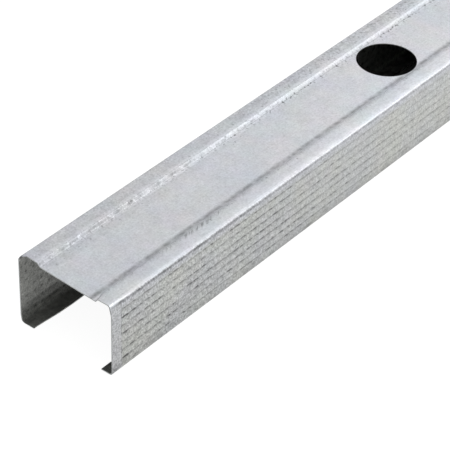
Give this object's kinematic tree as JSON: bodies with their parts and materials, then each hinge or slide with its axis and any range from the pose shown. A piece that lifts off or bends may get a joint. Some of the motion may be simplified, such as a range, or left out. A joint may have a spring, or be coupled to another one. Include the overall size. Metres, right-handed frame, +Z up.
{
  "type": "drywall metal stud",
  "caption": "Lipped C-shaped drywall stud of galvanized sheet steel, with knurled flanges, a sunk web panel and round service holes.",
  "frame": {"origin": "centre of the bounding box in plan, on the floor that the two flange edges lie on", "axes": "+Y along the stud, away from the end in view; +Z up, out of the web; X across the web"},
  "size_m": [0.05, 2.4, 0.035],
  "materials": {
    "galvanized": "galvanized"
  },
  "bodies": {
    "root": {"stud": "galvanized"}
  },
  "joints": []
}
